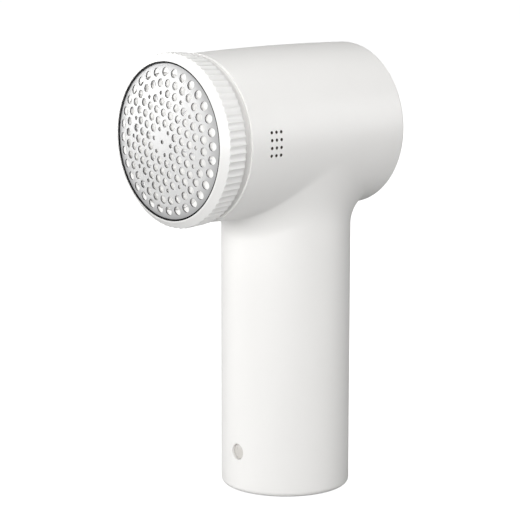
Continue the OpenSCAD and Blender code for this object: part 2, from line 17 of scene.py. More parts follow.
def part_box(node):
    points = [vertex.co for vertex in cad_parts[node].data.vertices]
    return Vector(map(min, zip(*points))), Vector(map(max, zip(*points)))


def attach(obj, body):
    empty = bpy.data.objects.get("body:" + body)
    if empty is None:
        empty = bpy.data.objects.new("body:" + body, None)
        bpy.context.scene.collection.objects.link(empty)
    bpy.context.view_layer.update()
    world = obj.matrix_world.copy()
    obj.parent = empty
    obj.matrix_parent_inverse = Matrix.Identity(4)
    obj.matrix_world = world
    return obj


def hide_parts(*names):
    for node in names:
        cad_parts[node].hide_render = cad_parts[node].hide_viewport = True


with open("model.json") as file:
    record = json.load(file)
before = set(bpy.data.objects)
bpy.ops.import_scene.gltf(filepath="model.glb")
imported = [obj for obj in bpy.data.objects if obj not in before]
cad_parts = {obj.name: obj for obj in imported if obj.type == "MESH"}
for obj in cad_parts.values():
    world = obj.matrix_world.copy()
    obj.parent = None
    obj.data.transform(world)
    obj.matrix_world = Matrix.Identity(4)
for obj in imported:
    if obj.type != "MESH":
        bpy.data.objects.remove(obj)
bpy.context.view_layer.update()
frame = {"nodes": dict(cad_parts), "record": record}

MM = 0.001


def span(node):
    """Lowest and highest corner of a CAD node, in millimetres."""
    low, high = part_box(node)
    return np.array(low) / MM, np.array(high) / MM


SHELL_LOW, SHELL_HIGH = span("body_shell")
RING_LOW, RING_HIGH = span("locking_ring")
FOIL_LOW, FOIL_HIGH = span("foil")
CAP_HIGH = span("base_cap")[1]
BUTTON_LOW, BUTTON_HIGH = span("power_button")
LENS_LOW, LENS_HIGH = span("light_pipe")
SOCKET_LOW, SOCKET_HIGH = span("charge_socket")

AXIS_Z = (RING_LOW[2] + RING_HIGH[2]) / 2
FOOT_Z = SHELL_LOW[2]

# Handle
WALL = 2.0
CAP_GAP = 0.1
HANDLE_R = CAP_HIGH[0] + CAP_GAP + WALL
FOOT_EDGE = 1.7

# Barrel
BARREL_R = SHELL_HIGH[0]
CROWN = 0.6
BARREL_FRONT = -38.0
BARREL_BACK = SHELL_HIGH[1]
BACK_EDGE = 1.2
BARREL_BORE_R = 24.7
BORE_FRONT = -36.0

# Neck in front of the barrel, and the groove between the ring and the barrel's lip
NECK_R = 24.9
NECK_BORE_R = 23.4
NECK_FRONT = SHELL_LOW[1]
COLLAR_Y = -40.4
LIP_Y = -37.5
LIP_STEP = 0.55

# Blend of handle and barrel, and the angle at which it meets the barrel
BLEND_R = 8.4
CREASE = math.radians(30)
CREASE_SOFT = 0.35

# Openings of the body
VENT_Y = -28.0
VENT_R = 0.5
VENT_FLARE = 0.16
VENT_PITCH = 1.89
VENT_TURN = 5.2
VENT_ROWS = 4
LENS_GAP = 0.1
LENS_FLARE = 0.3
BUTTON_GAP = 0.25
SLOT_HALF_W = 4.95
SLOT_R = 1.85
WIRE_HOLE_Y = -5
WIRE_HOLE_R = 2.2

# Head
RING_R = RING_HIGH[0]
RING_BACK = RING_HIGH[1]
RIM_Y = RING_LOW[1]
RING_BORE_R = 25.3
RIBS = 72
RING_TAPER = 0.45
LIP_R = 24.7
FOIL_R = FOIL_HIGH[0]
SHEET_R = FOIL_R + 0.05
ROLL_R = 20.8
ROLL_DROP = 0.24
# Depth of the band in the gap round the foil, which is painted dark as shade
SHADE_BAND_Y = RIM_Y + 0.22
DOME_RISE = 2.4
DOME_R = (FOIL_R**2 + DOME_RISE**2) / (2 * DOME_RISE)
DOME_Y = FOIL_LOW[1] + DOME_R
FOIL_BACK = FOIL_HIGH[1]

BUTTON_Z = (BUTTON_LOW[2] + BUTTON_HIGH[2]) / 2
BUTTON_R = 6.0
LENS_Z = (LENS_LOW[2] + LENS_HIGH[2]) / 2
LENS_R = 2.5
SOCKET_Z = (SOCKET_LOW[2] + SOCKET_HIGH[2]) / 2

# ---------------------------------------------------------------- mesh helpers


def new_object(name, verts, faces, smooth_deg=35):
    """A mesh object from points in millimetres, with edges over smooth_deg left sharp."""
    mesh = bpy.data.meshes.new(name)
    points = [tuple(v) for v in np.asarray(verts) * MM]
    mesh.from_pydata(points, [], [tuple(map(int, f)) for f in faces])
    tidy(mesh)
    obj = bpy.data.objects.new(name, mesh)
    bpy.context.collection.objects.link(obj)
    mesh.shade_smooth()
    mesh.set_sharp_from_angle(angle=math.radians(smooth_deg))
    return obj


def tidy(mesh):
    """Joins points that coincide and turns the faces outward."""
    bm = bmesh.new()
    bm.from_mesh(mesh)
    bmesh.ops.remove_doubles(bm, verts=bm.verts, dist=0.002 * MM)
    bmesh.ops.recalc_face_normals(bm, faces=bm.faces)
    bm.to_mesh(mesh)
    bm.free()


def grid_faces(rows, columns, wrap_rows=False, skip=None):
    """Quads of a grid numbered row by row, whose columns close into a ring."""
    faces = []
    for i in range(rows if wrap_rows else rows - 1):
        for j in range(columns):
            if skip is not None and skip(i, j):
                continue
            a, b = i * columns, ((i + 1) % rows) * columns
            k = (j + 1) % columns
            faces.append((a + j, a + k, b + k, b + j))
    return faces


def round_corners(points, radius, steps=4):
    """Replaces each corner of an open outline by a short arc, and keeps its two ends."""
    points = [np.array(p, float) for p in points]
    out = [points[0]]
    for a, p, b in zip(points, points[1:], points[2:]):
        reach = min(radius, 0.45 * np.linalg.norm(a - p), 0.45 * np.linalg.norm(b - p))
        start = p + (a - p) / np.linalg.norm(a - p) * reach
        end = p + (b - p) / np.linalg.norm(b - p) * reach
        for t in np.linspace(0, 1, steps + 1):
            out.append((1 - t) ** 2 * start + 2 * t * (1 - t) * p + t**2 * end)
    return out + [points[-1]]


def ring_points(profile, columns, centre):
    """Points of a surface turned about a Y axis. profile holds [radius, y], centre [x, z]."""
    angle = np.linspace(0, 2 * math.pi, columns, endpoint=False)
    profile = np.asarray(profile, float)
    r, along = profile[:, :1], profile[:, 1:2] + 0 * angle
    u, v = r * np.sin(angle), -r * np.cos(angle)
    return np.stack([centre[0] + u, along, centre[1] + v], -1).reshape(-1, 3)


def lathe(name, profile, columns, centre, smooth_deg):
    """A solid turned about a Y axis, from an outline that starts and ends on the axis."""
    verts = ring_points(profile, columns, centre)
    return new_object(name, verts, grid_faces(len(profile), columns), smooth_deg)


def apply_modifiers(obj):
    """Bakes the modifiers into the object's mesh."""
    graph = bpy.context.evaluated_depsgraph_get()
    mesh = bpy.data.meshes.new_from_object(obj.evaluated_get(graph))
    obj.modifiers.clear()
    old = obj.data
    obj.data = mesh
    bpy.data.meshes.remove(old)


def drill(origin, direction, steps, columns=32):
    """Points and faces of a turned cutter: steps holds [radius, distance along direction]."""
    z = np.array(direction, float) / np.linalg.norm(direction)
    x = np.cross(z, [0.0, 0.0, 1.0] if abs(z[2]) < 0.9 else [1.0, 0.0, 0.0])
    x /= np.linalg.norm(x)
    y = np.cross(z, x)
    angle = np.linspace(0, 2 * math.pi, columns, endpoint=False)
    around = [x * math.cos(a) + y * math.sin(a) for a in angle]
    verts = [np.array(origin) + z * d + r * out for r, d in steps for out in around]
    faces = grid_faces(len(steps), columns)
    faces.append(tuple(range(columns)))
    faces.append(tuple(range((len(steps) - 1) * columns, len(steps) * columns)))
    return verts, faces


def cut(obj, cutters):
    """Cuts a list of (points, faces) solids out of an object."""
    verts, faces = [], []
    for v, f in cutters:
        faces += [tuple(len(verts) + k for k in face) for face in f]
        verts += list(v)
    tool = new_object("cutter", verts, faces)
    boolean = obj.modifiers.new("cut", "BOOLEAN")
    boolean.operation = "DIFFERENCE"
    boolean.solver = "EXACT"
    boolean.object = tool
    apply_modifiers(obj)
    mesh = tool.data
    bpy.data.objects.remove(tool)
    bpy.data.meshes.remove(mesh)


# ---------------------------------------------------------------- body


def barrel_radius(y):
    """The barrel is widest halfway along and a little smaller at both ends."""
    half = (BARREL_BACK - BARREL_FRONT) / 2
    return BARREL_R - CROWN * ((y - BARREL_FRONT - half) / half) ** 2


def skin(p):
    """Signed distance to handle and barrel, and its direction.

    The blend between them runs smoothly into the handle and meets the barrel in a soft crease.
    """
    x, y, z = p[:, 0], p[:, 1], p[:, 2] - AXIS_Z
    rh, rb = np.maximum(np.hypot(x, y), 1e-9), np.maximum(np.hypot(x, z), 1e-9)
    half = (BARREL_BACK - BARREL_FRONT) / 2
    slope = 2 * CROWN * (y - BARREL_FRONT - half) / half**2
    to_handle = rh - HANDLE_R
    to_barrel = rb - barrel_radius(y)
    up_handle = np.stack([x / rh, y / rh, 0 * x], 1)
    up_barrel = np.stack([x / rb, slope, z / rb], 1)
    u = np.maximum(BLEND_R - to_handle, 0)
    v = np.maximum(BLEND_R * math.cos(CREASE) - to_barrel, 0)
    length = np.maximum(np.hypot(u, v), 1e-9)
    to_blend = np.where(length > 1e-6, BLEND_R - length, np.maximum(BLEND_R, to_handle))
    up_blend = (u[:, None] * up_handle + v[:, None] * up_barrel) / length[:, None]
    share = np.clip(0.5 + 0.5 * (to_blend - to_barrel) / CREASE_SOFT, 0, 1)
    distance = to_blend + (to_barrel - to_blend) * share - CREASE_SOFT * share * (1 - share)
    normal = up_blend + (up_barrel - up_blend) * share[:, None]
    normal /= np.maximum(np.linalg.norm(normal, axis=1, keepdims=True), 1e-9)
    return distance, normal


def onto_skin(p):
    """Slides points along the skin's normal until they lie on it."""
    p = np.array(p, float)
    for _ in range(12):
        distance, normal = skin(p)
        p -= distance[:, None] * normal
    return p


def barrel_point(angle, y):
    """A point on the plain barrel; angle 0 is straight down."""
    r = barrel_radius(y)
    return np.stack([r * np.sin(angle), y, AXIS_Z - r * np.cos(angle)], -1)


def build_body():
    columns = 240
    half_hole = 46
    y_step = 0.8
    hole_front, hole_back = -31.0, BARREL_BACK - BACK_EDGE - 0.5
    crown_end = BARREL_BACK - BACK_EDGE

    front_rows = np.arange(LIP_Y + 0.2, hole_front - y_step / 2, y_step)
    hole_rows = np.linspace(hole_front, hole_back, int((hole_back - hole_front) / y_step) + 1)
    crown_rows = np.concatenate([front_rows, hole_rows, [crown_end]])
    end_r = barrel_radius(crown_end)
    lip_r = barrel_radius(LIP_Y)
    collar_r = lip_r - LIP_STEP
    groove_r = collar_r - 0.3

    lead_in = round_corners(
        [
            (NECK_BORE_R, BORE_FRONT), (NECK_BORE_R, NECK_FRONT), (NECK_R, NECK_FRONT),
            (NECK_R, COLLAR_Y), (groove_r, COLLAR_Y), (groove_r, COLLAR_Y + 0.7),
            (groove_r, LIP_Y - 0.9), (collar_r, LIP_Y - 0.3), (collar_r, LIP_Y - 0.12),
            (lip_r, LIP_Y - 0.12), (lip_r, LIP_Y + 0.15),
        ],
        0.12,
    )[1:]
    crown = [(barrel_radius(y), y) for y in crown_rows]
    edge = [
        (end_r - BACK_EDGE * (1 - math.cos(a)), crown_end + BACK_EDGE * math.sin(a))
        for a in np.linspace(0, math.pi / 2, 9)[1:]
    ]
    inside = round_corners(
        [
            edge[-1], (BARREL_BORE_R, BARREL_BACK), (BARREL_BORE_R, BORE_FRONT),
            (NECK_BORE_R, BORE_FRONT),
        ],
        0.2,
    )[1:]
    profile = lead_in + crown + edge + inside
    first = len(lead_in) + len(front_rows)
    last = first + len(hole_rows) - 1

    def in_hole(i, j):
        centred = (j + half_hole) % columns
        return first <= i < last and centred < 2 * half_hole

    barrel = ring_points(profile, columns, (0.0, AXIS_Z))
    parts = [(barrel, grid_faces(len(profile), columns, wrap_rows=True, skip=in_hole))]

    # Walk once round the hole's edge, from its front right corner
    step = 2 * math.pi / columns
    side = half_hole * step
    across = np.arange(-half_hole, half_hole + 1) * step
    walk = (
        [(side, y) for y in hole_rows[:-1]]
        + [(a, hole_rows[-1]) for a in across[:0:-1]]
        + [(-side, y) for y in hole_rows[:0:-1]]
        + [(a, hole_rows[0]) for a in across[:-1]]
    )
    walk = np.array(walk)
    outer = barrel_point(walk[:, 0], walk[:, 1])

    # Each point of that edge has a partner on the handle, in the same direction from its axis
    turn = np.arctan2(outer[:, 1], outer[:, 0])
    collar_z = AXIS_Z - BARREL_R - BLEND_R - 3.5
    hx, hy = HANDLE_R * np.cos(turn), HANDLE_R * np.sin(turn)
    meet = np.stack([hx, hy, AXIS_Z - np.sqrt(barrel_radius(hy) ** 2 - hx**2)], 1)
    start = np.stack([hx, hy, np.full_like(hx, collar_z)], 1)
    meet_angle = np.arcsin(meet[:, 0] / barrel_radius(hy))
    rise = meet[:, 2] - collar_z
    run = np.hypot((walk[:, 0] - meet_angle) * BARREL_R, walk[:, 1] - hy)
    rows = 34
    sheet = []
    for t in np.linspace(0, 1, rows):
        at = t * (rise + run)
        on_handle = start + np.stack([0 * hx, 0 * hx, np.minimum(at, rise)], 1)
        s = np.clip((at - rise) / run, 0, 1)
        on_barrel = barrel_point(
            meet_angle + s * (walk[:, 0] - meet_angle), hy + s * (walk[:, 1] - hy)
        )
        sheet.append(np.where((at < rise)[:, None], on_handle, on_barrel))
    blended = onto_skin(np.concatenate(sheet[1:-1]))
    count = len(walk)
    sheet = np.concatenate([start, blended, outer])
    parts.append((sheet, grid_faces(rows, count)))

    # Handle: outside up to the blend, round the foot, and up the bore
    foot = [
        (HANDLE_R - FOOT_EDGE * (1 - math.sin(a)), FOOT_Z + FOOT_EDGE * (1 - math.cos(a)))
        for a in np.linspace(math.pi / 2, 0, 9)
    ]
    sides = [(HANDLE_R, z) for z in np.linspace(collar_z, FOOT_Z + FOOT_EDGE, 46)[:-1]]
    bore_r, bore_top = HANDLE_R - WALL, AXIS_Z - BARREL_R - 3.0
    bore = round_corners(
        [foot[-1], (bore_r, FOOT_Z), (bore_r, bore_top), (0.0, bore_top)], 0.25
    )[1:]
    outline = np.array(sides + foot + bore)
    r, z = outline[:, :1], outline[:, 1:] + 0 * turn
    handle = np.stack([r * np.cos(turn), r * np.sin(turn), z], -1).reshape(-1, 3)
    parts.append((handle, grid_faces(len(outline), count)))

    verts, faces = [], []
    for v, f in parts:
        faces += [tuple(len(verts) + k for k in face) for face in f]
        verts += list(v)
    body = new_object("body", verts, faces)
    cut(body, body_cutters())
    shade_body(body)
    # painted shade on the vent walls and in the groove behind the ring
    mark_painted_shade(body)
    return body


def body_cutters():
    """Vent grid, lens recess, button hole, charging slot and the wires' way through."""
    cutters = []
    in_barrel, off_barrel = 22.0, 29.0
    in_handle, off_handle = 14.0, 25.0
    for row in range(VENT_ROWS):
        for column in (-1, 0, 1):
            angle = math.radians(((VENT_ROWS - 1) / 2 - row) * VENT_TURN)
            y = VENT_Y + column * VENT_PITCH
            out = np.array([math.cos(angle), 0.0, math.sin(angle)])
            top = barrel_radius(y)
            steps = [
                (VENT_R, in_barrel), (VENT_R, top - 0.12),
                (VENT_R + VENT_FLARE, top + 0.05), (VENT_R + VENT_FLARE, off_barrel),
            ]
            cutters.append(drill((0, y, AXIS_Z), out, steps, 24))
    hole_r = LENS_R + LENS_GAP
    sag = HANDLE_R - math.sqrt(HANDLE_R**2 - hole_r**2)
    steps = [
        (hole_r, in_handle + 1), (hole_r, HANDLE_R - sag - 0.1),
        (hole_r + LENS_FLARE, HANDLE_R), (hole_r + LENS_FLARE, off_handle - 1),
    ]
    cutters.append(drill((0, 0, LENS_Z), (0, -1, 0), steps, 64))
    hole_r = BUTTON_R + BUTTON_GAP
    steps = [(hole_r, in_handle), (hole_r, off_handle)]
    cutters.append(drill((0, 0, BUTTON_Z), (0, 1, 0), steps, 96))
    cutters.append(slot_cutter(SOCKET_Z, SLOT_HALF_W, SLOT_R, in_handle, off_handle))
    bottom, top = 86.0, 96.0
    steps = [(WIRE_HOLE_R, bottom), (WIRE_HOLE_R, top)]
    cutters.append(drill((0, WIRE_HOLE_Y, 0), (0, 0, 1), steps, 32))
    return cutters


def slot_cutter(z, half_w, r, y0, y1):
    """A slot with round ends through the handle's back."""
    arc = np.linspace(-math.pi / 2, math.pi / 2, 17)
    right = [(half_w - r + r * math.cos(a), z + r * math.sin(a)) for a in arc]
    left = [(-x, 2 * z - h) for x, h in right]
    ring = right + left
    verts = [(x, y, h) for y in (y0, y1) for x, h in ring]
    count = len(ring)
    faces = grid_faces(2, count)
    faces += [tuple(range(count)), tuple(range(count, 2 * count))]
    return verts, faces


def shade_body(body):
    """Gives every face of the smooth outside the exact normals of the blended form."""
    mesh = body.data
    mesh.shade_smooth()
    mesh.set_sharp_from_angle(angle=math.radians(28))
    count = len(mesh.vertices)
    co = np.empty(count * 3)
    mesh.vertices.foreach_get("co", co)
    co = co.reshape(-1, 3) / MM
    distance, normal = skin(co)
    behind_lip = co[:, 1] > LIP_Y + 0.15
    before_edge = co[:, 1] < BARREL_BACK - BACK_EDGE + 0.01
    above_foot = co[:, 2] > FOOT_Z + FOOT_EDGE - 0.01
    on_skin = (np.abs(distance) < 0.02) & behind_lip & before_edge & above_foot
    normals = np.zeros((len(mesh.loops), 3))
    for face in mesh.polygons:
        ids = list(face.vertices)
        if on_skin[ids].all() and np.dot(normal[ids].mean(0), face.normal) > 0.7:
            for loop, vertex in zip(face.loop_indices, ids):
                normals[loop] = normal[vertex]
    mesh.normals_split_custom_set([tuple(n) for n in normals])


def mark_painted_shade(body):
    """Marks painted shade: strongest on the walls of the vent holes, weaker next to the ring and
    weakest in the groove behind it, where the ring's shadow falls.
    """
    in_vents, by_ring, in_groove = 1.0, 0.4, 0.17
    mark = body.data.attributes.new("dark", "FLOAT", "FACE")
    for face in body.data.polygons:
        x, y, z = face.center / MM
        depth = barrel_radius(y) - math.hypot(x, z - AXIS_Z)
        beside = x > 20 and abs(y - VENT_Y) < 3 and abs(z - AXIS_Z) < 6
        amount = 0.0
        if beside and 0.1 < depth < WALL + 0.2:
            amount = in_vents
        elif y < COLLAR_Y + 0.75:
            amount = by_ring
        elif y < LIP_Y - 0.2 and depth < 2.0:
            amount = in_groove
        mark.data[face.index].value = amount


# ---------------------------------------------------------------- locking ring


def build_ring():
    """Ring with hollow flutes between narrow ridges, notching the rim of a smooth front."""
    per_rib = 16
    columns = RIBS * per_rib
    flute, phase = 0.32, 2 / per_rib
    angle = np.arange(columns) / columns * 2 * math.pi
    place = (np.arange(columns) / per_rib + phase) % 1.0
    hollow = flute * (1 - (2 * np.minimum(place, 1 - place)) ** 2)

    # Front face, as distance in from the rim against height behind the ring's front
    front = np.array([
        (2.7, 0.03), (2.6, 0.0), (2.4, 0.05), (2.15, 0.22), (1.85, 0.52), (1.55, 0.84),
        (1.25, 1.13), (1.0, 1.37), (0.75, 1.6), (0.5, 1.84), (0.3, 2.04), (0.12, 2.26), (0.0, 2.5),
    ])
    inner_r = LIP_R + 0.05
    rim_r = RING_R - hollow
    rows = []
    for u in np.linspace(0, 1, 20):
        r = inner_r + (rim_r - inner_r) * u
        rows.append((r, RIM_Y + np.interp(r, RING_R - front[:, 0], front[:, 1])))
    grip_front, grip_back = rows[-1][1], RING_BACK - 0.08
    for t in np.linspace(0, 1, 14)[1:]:
        rows.append((rim_r - RING_TAPER * t, grip_front + (grip_back - grip_front) * t))
    back_r = rim_r - RING_TAPER
    lip_back = RIM_Y + 1.4
    bore = [
        (back_r - 0.03, RING_BACK - 0.02), (back_r - 0.1, RING_BACK),
        (RING_BORE_R + 0.15, RING_BACK), (RING_BORE_R, RING_BACK - 0.15),
        (RING_BORE_R, lip_back + 0.1), (RING_BORE_R - 0.1, lip_back),
        (LIP_R, lip_back), (LIP_R, RIM_Y + 0.2), (LIP_R + 0.02, RIM_Y + 0.09),
    ]
    rows += bore
    r = np.array([np.broadcast_to(row[0], columns) for row in rows])
    y = np.array([np.broadcast_to(row[1], columns) for row in rows])
    verts = np.stack([r * np.sin(angle), y, AXIS_Z - r * np.cos(angle)], -1).reshape(-1, 3)
    faces = grid_faces(len(rows), columns, wrap_rows=True)
    return new_object("ribbed_ring", verts, faces, 40)


# ---------------------------------------------------------------- foil


def foil_holes():
    """Hole centres and radii on the foil, as [x, z, radius] seen from the front.

    A triangular grid cut to a hexagon fills the middle, with small pilot holes in its core. Holes
    along its six sides round it off, and two plain rings of larger holes run round it.
    """
    pitch, turn, hole_r, pilot_r = 3.45, 47.0, 1.25, 0.65
    first_ring, last_ring = 2, 4

    def polar(r, deg, hole):
        a = math.radians(deg)
        return (r * math.cos(a), r * math.sin(a), hole)

    holes = [(0.0, 0.0, pilot_r)]
    for i in range(-last_ring, last_ring + 1):
        for j in range(-last_ring, last_ring + 1):
            ring = max(abs(i), abs(j), abs(i + j))
            if first_ring <= ring <= last_ring:
                x, z = pitch * (i + j / 2), pitch * j * math.sqrt(3) / 2
                holes.append(polar(math.hypot(x, z), turn + math.degrees(math.atan2(z, x)), hole_r))
    for k in range(6):
        holes.append(polar(4.1, turn + 60 * k, pilot_r))
        for side in (-1, 1):
            holes.append(polar(15.04, turn + 60 * k + side * 23.4, hole_r))
            holes.append(polar(15.1, turn + 60 * k + side * 11.2, pilot_r))
    around = 32
    for r, first, hole in ((21.6, 1.6, 1.4), (18.2, 7.2, 1.3)):
        holes += [polar(r, first + 360 / around * k, hole) for k in range(around)]
    return holes


def build_foil():
    """Domed sheet with punched holes, and a skirt folded back round the rim to a band in the gap
    that carries painted shade.
    """
    thick, edge, drop = 0.4, 0.04, 0.02
    field_thick, field_r = 0.36, 21.2
    rim_r = SHEET_R - 0.35
    plane, loops, depth = [], [], []

    def add_loop(cx, cz, r, count, below):
        start = len(plane)
        for a in np.linspace(0, 2 * math.pi, count, endpoint=False):
            plane.append(Vector((cx + r * math.cos(a), cz + r * math.sin(a))))
            depth.append(below)
        loops.append(list(range(start, start + count)))

    add_loop(0, 0, rim_r, 288, 0.0)
    holes = foil_holes()
    for x, z, r in holes:
        sides = 32 if r > 1 else 20
        add_loop(x, z, r + edge, sides, 0.0)
        add_loop(x, z, r, sides, drop)
    edges = [(loop[i], loop[(i + 1) % len(loop)]) for loop in loops for i in range(len(loop))]
    flat, _, triangles, _, _, _ = geometry.delaunay_2d_cdt(plane, edges, [], 0, 1e-6)
    assert len(flat) == len(plane)
    xz = np.array([tuple(v) for v in flat])
    centres = xz[np.array(triangles)].mean(1)
    keep = np.hypot(centres[:, 0], centres[:, 1]) < rim_r
    for x, z, r in holes:
        keep &= np.hypot(centres[:, 0] - x, centres[:, 1] - z) > r * 0.999
    triangles = [t for t, k in zip(triangles, keep) if k]

    up = np.stack([xz[:, 0], -np.sqrt(DOME_R**2 - (xz**2).sum(1)), xz[:, 1]], 1) / DOME_R
    centre = np.array([0, DOME_Y, AXIS_Z])
    from_middle = np.hypot(xz[:, 0], xz[:, 1])
    roll = np.stack([0 * from_middle, roll_off(from_middle), 0 * from_middle], 1)
    below = np.where(from_middle < field_r, field_thick, thick)
    top = centre + up * (DOME_R - np.array(depth))[:, None] + roll
    under = centre + up * (DOME_R - below)[:, None] + roll
    count = len(top)
    faces = list(triangles) + [tuple(count + k for k in t[::-1]) for t in triangles]
    for loop in loops[2::2]:
        for i, a in enumerate(loop):
            b = loop[(i + 1) % len(loop)]
            faces.append((a, b, count + b, count + a))

    # Rolled rim and skirt: rows of points round the outside that end on the underside's edge
    outer = loops[0]
    rim_y = top[outer[0], 1]
    rows = [
        (SHEET_R - 0.1, rim_y + 0.05), (SHEET_R, rim_y + 0.08), (SHEET_R + 0.02, SHADE_BAND_Y),
        (LIP_R - 0.03, SHADE_BAND_Y), (LIP_R - 0.03, SHADE_BAND_Y + 0.8), (FOIL_R, SHADE_BAND_Y + 0.8),
        (FOIL_R, FOIL_BACK), (FOIL_R - thick, FOIL_BACK), (FOIL_R - thick, rim_y + thick + 0.35),
    ]
    angle = np.linspace(0, 2 * math.pi, len(outer), endpoint=False)
    verts = list(top) + list(under)
    previous = outer
    for r, y in rows:
        ring = [len(verts) + k for k in range(len(outer))]
        verts += [(r * math.cos(a), y, AXIS_Z + r * math.sin(a)) for a in angle]
        faces += band(previous, ring)
        previous = ring
    faces += band(previous, [count + k for k in outer])
    foil = new_object("perforated_foil", verts, faces, 40)
    shade_dome(foil, centre)
    mark_dark(foil, centre)
    return foil


def roll_off(r):
    """How far the sheet falls away from the plain dome towards its rim."""
    return ROLL_DROP * np.clip((r - ROLL_R) / (SHEET_R - ROLL_R), 0, 1) ** 2


def band(a, b):
    """Quads between two loops of the same length."""
    n = len(a)
    return [(a[i], a[(i + 1) % n], b[(i + 1) % n], b[i]) for i in range(n)]


def shade_dome(foil, centre):
    """Exact normals of the dome and its rolled rim, so that long thin triangles don't show."""
    mesh = foil.data
    normals = np.zeros((len(mesh.loops), 3))
    for face in mesh.polygons:
        middle = np.array(face.center) / MM - centre
        out = middle / np.linalg.norm(middle)
        if np.dot(out, face.normal) > 0.96:
            for loop, vertex in zip(face.loop_indices, face.vertices):
                away = np.array(mesh.vertices[vertex].co) / MM - centre
                r = math.hypot(away[0], away[2])
                slope = 2 * ROLL_DROP * max(r - ROLL_R, 0) / (SHEET_R - ROLL_R) ** 2
                away[[0, 2]] *= 1 + slope * DOME_R / max(r, 1)
                normals[loop] = away / np.linalg.norm(away)
    mesh.normals_split_custom_set([tuple(n) for n in normals])


def mark_dark(foil, centre):
    """Marks painted shade: near black on the band in the shadowed gap round the rim, and slightly
    less on the walls of the holes.
    """
    on_shade_band, on_wall = 1.0, 0.88
    mesh = foil.data
    mark = mesh.attributes.new("dark", "FLOAT", "FACE")
    for face in mesh.polygons:
        x, y, z = np.array(face.center) / MM - centre
        out = np.array((x, y, z)) / math.sqrt(x * x + y * y + z * z)
        wall = abs(np.dot(out, face.normal)) < 0.5
        in_shade_band = math.hypot(x, z) > SHEET_R - 0.02
        mark.data[face.index].value = on_shade_band if in_shade_band else on_wall if wall else 0.0


# ---------------------------------------------------------------- small outside pieces


def build_button():
    """Round push button with a dished face."""
    back, front = BUTTON_LOW[1], BUTTON_HIGH[1]
    dish, dish_r = 0.45, BUTTON_R - 1.0
    face = [(r, front - dish * (1 - (r / dish_r) ** 2)) for r in np.linspace(0, dish_r, 9)]
    rim = round_corners(
        [
            face[-1], (BUTTON_R - 0.6, front), (BUTTON_R, front - 0.55), (BUTTON_R, back + 1.0),
            (BUTTON_R + 1.2, back + 1.0), (BUTTON_R + 1.2, back), (0.0, back),
        ],
        0.35,
    )[1:]
    return lathe("push_button", face + rim, 128, (0.0, BUTTON_Z), 50)


def build_lens():
    """Light pipe with a softly domed lens at its front."""
    front, back = LENS_LOW[1], LENS_HIGH[1]
    face = [(r, front + 0.12 + 0.35 * (r / LENS_R) ** 2) for r in np.linspace(0, LENS_R - 0.15, 8)]
    rod = round_corners(
        [
            face[-1], (LENS_R, front + 0.6), (LENS_R, front + 2.0), (LENS_R + 0.9, front + 2.0),
            (LENS_R + 0.9, front + 3.0), (2.0, front + 3.0), (2.0, back), (0.0, back),
        ],
        0.2,
    )[1:]
    return lathe("light_lens", face + rod, 64, (0.0, LENS_Z), 50)


# ---------------------------------------------------------------- materials


def shader(name):
    """A new material, its node tree, and its principled shader."""
    material = bpy.data.materials.new(name)
    material.use_nodes = True
    tree = material.node_tree
    principled = next(n for n in tree.nodes if n.type == "BSDF_PRINCIPLED")
    return material, tree, principled


def noise(tree, scale, detail, stretch=(1, 1, 1)):
    """Noise in the piece's own space; scale is in features per metre."""
    place = tree.nodes.new("ShaderNodeTexCoord")
    mapping = tree.nodes.new("ShaderNodeMapping")
    mapping.inputs["Scale"].default_value = stretch
    texture = tree.nodes.new("ShaderNodeTexNoise")
    texture.inputs["Scale"].default_value = scale
    texture.inputs["Detail"].default_value = detail
    tree.links.new(place.outputs["Object"], mapping.inputs["Vector"])
    tree.links.new(mapping.outputs["Vector"], texture.inputs["Vector"])
    return texture.outputs["Fac"]


def spread(tree, source, low, high):
    """Maps the middle of a 0 to 1 pattern onto a range."""
    node = tree.nodes.new("ShaderNodeMapRange")
    node.inputs["From Min"].default_value = 0.3
    node.inputs["From Max"].default_value = 0.7
    node.inputs["To Min"].default_value = low
    node.inputs["To Max"].default_value = high
    tree.links.new(source, node.inputs["Value"])
    return node.outputs["Result"]


def tint(tree, source, dark, light):
    """Blends two colours by a pattern."""
    node = tree.nodes.new("ShaderNodeMix")
    node.data_type = "RGBA"
    node.inputs[6].default_value = (*dark, 1)
    node.inputs[7].default_value = (*light, 1)
    tree.links.new(source, node.inputs[0])
    return node.outputs[2]


def bump(tree, source, height_mm):
    """Surface relief of a given height."""
    node = tree.nodes.new("ShaderNodeBump")
    node.inputs["Distance"].default_value = height_mm * MM
    tree.links.new(source, node.inputs["Height"])
    return node.outputs["Normal"]


def darken(tree, source, amount, colour):
    """Blends a colour towards a darker one by an amount that varies over the piece."""
    node = tree.nodes.new("ShaderNodeMix")
    node.data_type = "RGBA"
    node.inputs[7].default_value = (*colour, 1)
    tree.links.new(amount, node.inputs[0])
    tree.links.new(source, node.inputs[6])
    return node.outputs[2]


def dark_mark(tree):
    """How far each face carries painted shade; zero on pieces without marks."""
    mark = tree.nodes.new("ShaderNodeAttribute")
    mark.attribute_name = "dark"
    return mark.outputs["Fac"]


def plastic(name, colour, roughness, grain_mm=0.5, relief_mm=0.002, coat=0.0, shift=0.012):
    """Moulded plastic: faint colour drift, painted shade on faces marked dark, uneven gloss, and
    the tool's fine surface.
    """
    material, tree, p = shader(name)
    dark = tuple(max(0.0, c - shift) for c in colour)
    light = tuple(min(1.0, c + shift) for c in colour)
    # painted shade colour, blended in where a face is marked (vent walls, groove behind the ring)
    painted_shade_colour = (0.06, 0.045, 0.035)
    drift = tint(tree, noise(tree, 45, 2), dark, light)
    tree.links.new(darken(tree, drift, dark_mark(tree), painted_shade_colour), p.inputs["Base Color"])
    rough = spread(tree, noise(tree, 160, 5), roughness - 0.03, roughness + 0.03)
    tree.links.new(rough, p.inputs["Roughness"])
    tree.links.new(bump(tree, noise(tree, 1000 / grain_mm, 3), relief_mm), p.inputs["Normal"])
    p.inputs["Coat Weight"].default_value = coat
    p.inputs["Coat Roughness"].default_value = 0.3
    p.inputs["IOR"].default_value = 1.49
    return material


